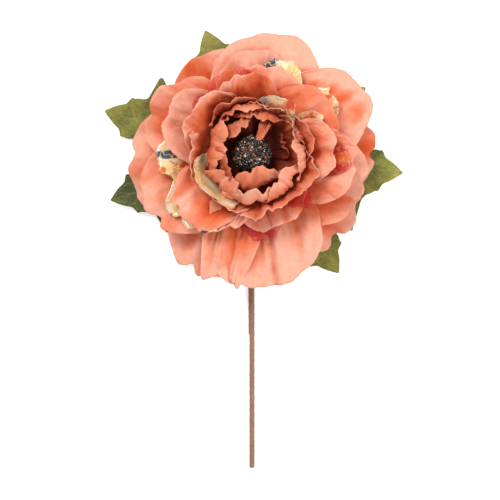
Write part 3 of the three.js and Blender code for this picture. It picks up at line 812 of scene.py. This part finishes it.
def petal_layer(name, layer, slot, materials, columns, rows, crumple, thickness, picker):
    """One layer's piece: its hub disc, and its petals of columns by rows faces each."""
    bm = new_mesh()
    add_hub(bm, STACK_BASE + layer.level * HUB_PITCH)
    for k, petal in enumerate(layer.petals):
        seed = picker.uniform(0, 50)
        surface = petal_surface(layer, petal, 1.9 * k, seed)
        relief = petal_relief(layer, petal, seed, crumple)

        # Tone at each point: the petal's tone, its patches of dye and painted shade, and painted shade
        # and light along its folds.
        def dye_and_shade(u, v, petal=petal):
            stains = sum(
                amount * bump(math.hypot(u - across, v - along), size)
                for across, along, size, amount in petal.stains
            )
            # Painted shade in the valleys of the folds and painted light on their crests.
            painted_fold_shade = -FOLD_SHADE * smoothstep(v, 0.3, 0.7) * folds_at(petal, u)
            return petal.tone + stains + painted_fold_shade

        add_sheet(bm, columns, rows, surface, relief, dye_and_shade)
    finish_piece(bm, name, materials, thickness)


class PEONY_OT_cloth_petals(bpy.types.Operator):
    """Six layers of formed cloth petals, from the back guard to the heart"""

    bl_idname = "peony.cloth_petals"
    bl_label = "Cloth petals"

    def execute(self, context):
        settings = context.scene.peony
        picker = random.Random(SEED)
        outer, bowl, inner = (cloth_pair(sort) for sort in CLOTHS)
        for name, layer in CLOTH_LAYERS.items():
            is_outer = layer.level < BOWL_LEVEL
            # The outer bowl and the inner petals take deeper copies of the same cloth: painted shade
            # down in the bowl.
            cloth = outer if is_outer else bowl if layer.level == BOWL_LEVEL else inner
            petal_layer(
                name, layer, "outer_cloth" if is_outer else "inner_cloth", cloth,
                settings.cloth_columns, settings.cloth_rows, settings.crumple / MM,
                settings.cloth_thickness, picker,
            )
        return {"FINISHED"}


class PEONY_OT_film_petals(bpy.types.Operator):
    """Three layers of crumpled iridescent film between the cloth ones"""

    bl_idname = "peony.film_petals"
    bl_label = "Film petals"

    def execute(self, context):
        settings = context.scene.peony
        picker = random.Random(SEED + 1)
        film = iridescent_film()
        for name, layer in FILM_LAYERS.items():
            petal_layer(
                name, layer, "film", [film], *FILM_GRID, FILM_CRUMPLE, settings.film_thickness, picker
            )
        return {"FINISHED"}


# ---- heart ----


class PEONY_OT_heart(bpy.types.Operator):
    """The heart: a dark core on its peg, set all over with small glossy beads"""

    bl_idname = "peony.heart"
    bl_label = "Beaded heart"

    def execute(self, context):
        settings = context.scene.peony
        picker = random.Random(SEED + 2)
        bm = new_mesh()
        tone_layer = bm.verts.layers.float["tone"]
        core = HEART_CORE_RADIUS
        turn_profile(bm, [
            (0.0, CALYX_TOP - 2), (1.5, CALYX_TOP - 2), (1.5, HEART_SEAT), (3.5, HEART_SEAT),
            (6.0, HEART_SEAT + 1), (core - 1, HEART_MIDDLE - 4), (core - 0.3, HEART_MIDDLE),
            (0.8 * core, HEART_MIDDLE + 0.5 * core), (0.45 * core, HEART_MIDDLE + 0.67 * core),
            (0.0, HEART_MIDDLE + HEART_FLATNESS * core),
        ], steps=32)
        golden_angle = math.pi * (3 - math.sqrt(5))
        for k in range(settings.beads):
            height = 1 - 1.12 * (k + 0.5) / settings.beads
            around = math.sqrt(1 - height * height)
            radius = picker.uniform(*BEAD_RADII)
            out = core + picker.uniform(0.1, 1.1)
            angle = k * golden_angle + picker.uniform(-0.05, 0.05)
            at = Matrix.Translation(place(
                out * around * math.cos(angle), out * around * math.sin(angle),
                HEART_MIDDLE + HEART_FLATNESS * out * height,
            ))
            bead = bmesh.ops.create_uvsphere(
                bm, u_segments=8, v_segments=5, radius=radius * MM,
                matrix=at @ Matrix.Rotation(k, 4, "X") @ Matrix.Diagonal((1, 1, 0.85, 1)),
            )["verts"]
            tone = picker.random()
            for vert in bead:
                vert[tone_layer] = tone
        for face in bm.faces:
            face.smooth = True
        finish_piece(bm, "heart_beads", [glass_seed()])
        return {"FINISHED"}


# ---- leaves ----


def leaf_surface(leaf):
    """A leaf on its stalk, in millimetres from the axis, as a function of u and v."""
    foot = leaf.reach - LEAF_BLADE_LENGTH
    root, tip = LEAF_LEVELS[leaf.upper]
    turn = Matrix.Rotation(math.radians(leaf.turn), 3, "Z")

    def surface(u, v):
        out = mix(LEAF_START, leaf.reach, v)
        half = LEAF_STALK_HALF_WIDTH
        if out > foot:
            half = along_outline(LEAF_OUTLINE, out - foot)
            teeth = abs(((out - foot) / TOOTH_SPACING) % 1 - 0.5)
            half *= 1 - TOOTH_DEPTH * teeth * smoothstep(out - foot, 2, 12)
            half *= mix(1.0, leaf.left if u > 0 else leaf.right, bump(out - foot - LEAF_LOBE, 8.0))
        to_go = max(0.0, (leaf.reach - out) / (leaf.reach - LEAF_START))
        height = tip + 0.4 + (root - tip) * to_go**1.3 + LEAF_FOLD * abs(half * u)
        return turn @ Vector((out, half * u, height))

    return surface


class PEONY_OT_leaves(bpy.types.Operator):
    """Six lobed leaves of printed cloth under the bloom"""

    bl_idname = "peony.leaves"
    bl_label = "Leaves"

    def execute(self, context):
        settings = context.scene.peony
        material = leaf_cloth()
        for k, (name, leaf) in enumerate(LEAVES.items()):
            bm = new_mesh()

            def relief(u, v, seed=7.0 * k):
                veins = 0.03 * math.cos(22 * math.pi * (v - 0.14 * abs(u)))
                return smoothstep(v, 0.35, 0.5) * (veins + 0.4 * wander(2 * u, 4 * v, seed))

            add_sheet(bm, *LEAF_GRID, leaf_surface(leaf), relief, leaf.tone)
            finish_piece(bm, name, [material], settings.leaf_thickness)
        return {"FINISHED"}


# ---- calyx and stem ----

SEPALS = 5
SEPAL_ROOT = 5
SEPAL_LENGTH = 15
SEPAL_HALF_WIDTH = 4.6
SEPAL_THICKNESS = 0.7
WIRE_SIDES = 24
TAPE_PITCH = 5.5
TAPE_OVERLAP = 0.12  # how high the edge of the tape stands
BEND_END = 0.7  # the share of the bent wire's faces that lies in its bend


class PEONY_OT_calyx(bpy.types.Operator):
    """The moulded cup behind the petals, with five sepals"""

    bl_idname = "peony.calyx"
    bl_label = "Calyx"

    def execute(self, context):
        bm = new_mesh()
        turn_profile(bm, [
            (CALYX_BORE_RADIUS, CALYX_BOTTOM), (3.4, CALYX_BOTTOM), (3.9, CALYX_BOTTOM + 0.5),
            (4.6, CALYX_BOTTOM + 1.6), (6.4, CALYX_TOP - 3.0), (7.6, CALYX_TOP - 1.4),
            (8.0, CALYX_TOP - 0.3), (7.8, CALYX_TOP), (CALYX_BORE_RADIUS, CALYX_TOP),
            (CALYX_BORE_RADIUS, CALYX_BOTTOM),
        ], steps=40)
        for face in bm.faces:
            face.smooth = True
        for k in range(SEPALS):
            add_sepal(bm, Matrix.Rotation(2 * math.pi * k / SEPALS, 3, "Z"))
        finish_piece(bm, "calyx", [calyx_plastic()])
        return {"FINISHED"}


def add_sepal(bm, turn):
    """One sepal: a closed blade, wide in the middle and pointed, folded along its rib."""

    def surface(u, v):
        out = SEPAL_ROOT + SEPAL_LENGTH * v
        half = SEPAL_HALF_WIDTH * math.sin(math.pi * min(0.985, 0.25 + 0.735 * v)) ** 0.7
        return turn @ Vector((out, half * u, CALYX_TOP - 1.1 - 1.8 * v * v - 0.5 * u * u))

    sheet = add_sheet(bm, 10, 20, surface)
    faces = list({face for vert in sheet for face in vert.link_faces})
    bmesh.ops.solidify(bm, geom=faces, thickness=SEPAL_THICKNESS * MM)


def taped_wire(bm, line_at, ways, radius, steps, phase):
    """A wire along line_at(t), wound with tape whose edge goes round it once a pitch.

    ways(t) gives the directions along it and to its side.
    """
    points = [line_at(i / steps) for i in range(steps + 1)]
    length = sum((b - a).length for a, b in zip(points, points[1:]))

    def surface(u, v):
        along, side = ways(v)
        up = along.cross(side)
        angle = math.pi * u
        wound = (v * length / TAPE_PITCH + u / 2 + phase) % 1.0
        swell = radius - TAPE_OVERLAP * 0.5 + TAPE_OVERLAP * wound
        swell += 0.05 * wander(0.7 * v * length, 2 * math.cos(angle), 2 * math.sin(angle))
        return line_at(v) + side * (swell * math.cos(angle)) + up * (swell * math.sin(angle))

    add_sheet(bm, WIRE_SIDES, steps, surface, closed=True)


class PEONY_OT_stem(bpy.types.Operator):
    """The taped wire stem, with a second wire taped against its upper stretch, and its bend"""

    bl_idname = "peony.stem"
    bl_label = "Stem"

    def execute(self, context):
        bm = new_mesh()
        side = Vector((1, 0, 0))
        straight = Vector((0, 1, 0))

        def main_wire(t):
            return Vector((0.0, mix(-STEM_LENGTH + 0.3, -BEND_RADIUS, t), STEM_RADIUS))

        def second_wire(t):
            return Vector((SECOND_WIRE_X, mix(SECOND_WIRE_END, -BEND_RADIUS - 6, t), STEM_RADIUS))

        def straight_ways(t):
            return straight, side

        foot = Vector((0, -BEND_RADIUS, STEM_RADIUS))
        corner = Vector((0, 0, STEM_RADIUS))
        top = Vector((0, 0, STEM_RADIUS + BEND_RADIUS))
        bend = (foot, foot.lerp(corner, 0.55), top.lerp(corner, 0.55), top)
        head = Vector((0, 0, CALYX_BOTTOM + 3))

        def bent_wire(t):
            if t < BEND_END:
                return bezier(bend, t / BEND_END)[0]
            return top.lerp(head, (t - BEND_END) / (1 - BEND_END))

        def bent_ways(t):
            return bezier(bend, t / BEND_END)[1] if t < BEND_END else Vector((0, 0, 1)), side

        taped_wire(bm, main_wire, straight_ways, STEM_RADIUS - 0.05, 460, 0.0)
        taped_wire(bm, second_wire, straight_ways, SECOND_WIRE_RADIUS, 260, 0.4)
        taped_wire(bm, bent_wire, bent_ways, 0.98 * STEM_RADIUS, 60, 0.2)
        bmesh.ops.holes_fill(bm, edges=[e for e in bm.edges if e.is_boundary], sides=60)
        bmesh.ops.recalc_face_normals(bm, faces=bm.faces)
        finish_piece(bm, "stem", [paper_tape()])
        return {"FINISHED"}


# ---- studio ----

VIEW_CENTRE = (-1.2, -57.0)  # the middle of the picture, in millimetres from the bloom's axis
VIEW_WIDTH = 0.300  # what the picture takes in, at the height VIEW_LEVEL
VIEW_LEVEL = 0.025
FLOOR_HALF_WIDTH = 4.0
FLOOR_DROP = 0.0002  # keeps the floor clear of the stem that rests on it
LIGHT_TARGET = (0, 0.03, 0.02)


def area_light(name, where, size, power, colour):
    """A round soft light at where, turned to the bloom."""
    lamp = bpy.data.lights.new(name, "AREA")
    lamp.shape = "DISK"
    lamp.size = size
    lamp.energy = power
    lamp.color = colour
    holder = bpy.data.objects.new(name, lamp)
    holder.location = where
    aim = Vector(LIGHT_TARGET) - Vector(where)
    holder.rotation_euler = aim.to_track_quat("-Z", "Y").to_euler()
    bpy.context.scene.collection.objects.link(holder)


class PEONY_OT_studio(bpy.types.Operator):
    """The pale floor, the soft lights and the camera straight above the flower"""

    bl_idname = "peony.studio"
    bl_label = "Studio"

    def execute(self, context):
        settings = context.scene.peony
        scene = context.scene
        bm = bmesh.new()
        bmesh.ops.create_grid(bm, x_segments=8, y_segments=8, size=FLOOR_HALF_WIDTH)
        mesh = bpy.data.meshes.new("floor")
        bm.to_mesh(mesh)
        bm.free()
        floor = bpy.data.objects.new("floor", mesh)
        floor.location.z = -FLOOR_DROP
        scene.collection.objects.link(floor)
        shader = Shader("pale floor")
        grain = shader.noise(shader.object_place(0.05))
        paint = shader.principled(
            Base_Color=shader.ramp(grain, [(0, "#f7f7f7"), (1, "#fbfbfb")]), Roughness=0.9,
            Specular_IOR_Level=0.1, Emission_Color=(1.0, 1.0, 1.0, 1.0), Emission_Strength=0.45,
        )
        mesh.materials.append(shader.done(paint))

        area_light("key", (-0.4, 0.6, 1.1), 0.5, settings.key_power, (1.0, 0.98, 0.96))
        area_light("fill", (0.8, -0.3, 0.9), 0.9, settings.fill_power, (0.97, 0.98, 1.0))

        world = bpy.data.worlds.new("studio")
        world.use_nodes = True
        background = world.node_tree.nodes["Background"]
        background.inputs["Color"].default_value = (1.0, 1.0, 1.0, 1.0)
        background.inputs["Strength"].default_value = settings.sky
        scene.world = world

        camera = bpy.data.cameras.new("camera")
        camera.sensor_width = 36.0
        camera.lens = camera.sensor_width * (settings.camera_height - VIEW_LEVEL) / VIEW_WIDTH
        camera.clip_end = 20.0
        holder = bpy.data.objects.new("camera", camera)
        holder.location = place(*VIEW_CENTRE, settings.camera_height / MM)
        scene.collection.objects.link(holder)
        scene.camera = holder
        scene.view_settings.view_transform = "Standard"
        scene.view_settings.look = "None"
        return {"FINISHED"}


# ---- settings, panel, registration ----


class PeonySettings(bpy.types.PropertyGroup):
    cloth_columns: bpy.props.IntProperty(
        name="Cloth columns", description="Faces across one cloth petal", default=52, min=8, max=120
    )
    cloth_rows: bpy.props.IntProperty(
        name="Cloth rows", description="Faces along one cloth petal", default=44, min=8, max=120
    )
    cloth_thickness: bpy.props.FloatProperty(
        name="Cloth thickness", description="Thickness of the petal cloth", default=0.00035,
        unit="LENGTH", subtype="DISTANCE", precision=5,
    )
    film_thickness: bpy.props.FloatProperty(
        name="Film thickness", description="Thickness of the clear film", default=0.0002,
        unit="LENGTH", subtype="DISTANCE", precision=5,
    )
    leaf_thickness: bpy.props.FloatProperty(
        name="Leaf thickness", description="Thickness of the leaf cloth", default=0.0005,
        unit="LENGTH", subtype="DISTANCE", precision=5,
    )
    crumple: bpy.props.FloatProperty(
        name="Crumple", description="Height of the crumples in the petal cloth", default=0.0015,
        unit="LENGTH", subtype="DISTANCE", precision=5,
    )
    beads: bpy.props.IntProperty(
        name="Beads", description="Number of beads on the heart", default=320, min=50, max=500
    )
    key_power: bpy.props.FloatProperty(
        name="Key light", description="Power of the key light", default=12.0, subtype="POWER"
    )
    fill_power: bpy.props.FloatProperty(
        name="Fill light", description="Power of the fill light", default=9.0, subtype="POWER"
    )
    sky: bpy.props.FloatProperty(
        name="Sky", description="Strength of the even light from all round", default=0.53
    )
    camera_height: bpy.props.FloatProperty(
        name="Camera height", description="Height of the camera over the floor", default=3.0,
        unit="LENGTH", subtype="DISTANCE",
    )


class PEONY_PT_panel(bpy.types.Panel):
    bl_idname = "PEONY_PT_panel"
    bl_label = "Cloth peony"
    bl_space_type = "VIEW_3D"
    bl_region_type = "UI"
    bl_category = "Peony"

    def draw(self, context):
        for key in PeonySettings.__annotations__:
            self.layout.prop(context.scene.peony, key)
        for operator in OPERATORS:
            self.layout.operator(operator.bl_idname)


OPERATORS = (
    PEONY_OT_cloth_petals,
    PEONY_OT_film_petals,
    PEONY_OT_heart,
    PEONY_OT_leaves,
    PEONY_OT_calyx,
    PEONY_OT_stem,
    PEONY_OT_studio,
)
CLASSES = (PeonySettings, *OPERATORS, PEONY_PT_panel)


def register():
    for kind in CLASSES:
        bpy.utils.register_class(kind)
    bpy.types.Scene.peony = bpy.props.PointerProperty(type=PeonySettings)


def unregister():
    del bpy.types.Scene.peony
    for kind in reversed(CLASSES):
        bpy.utils.unregister_class(kind)


def main():
    register()
    bpy.ops.peony.cloth_petals()
    bpy.ops.peony.film_petals()
    bpy.ops.peony.heart()
    bpy.ops.peony.leaves()
    bpy.ops.peony.calyx()
    bpy.ops.peony.stem()
    bpy.ops.peony.studio()


if __name__ == "__main__":
    main()
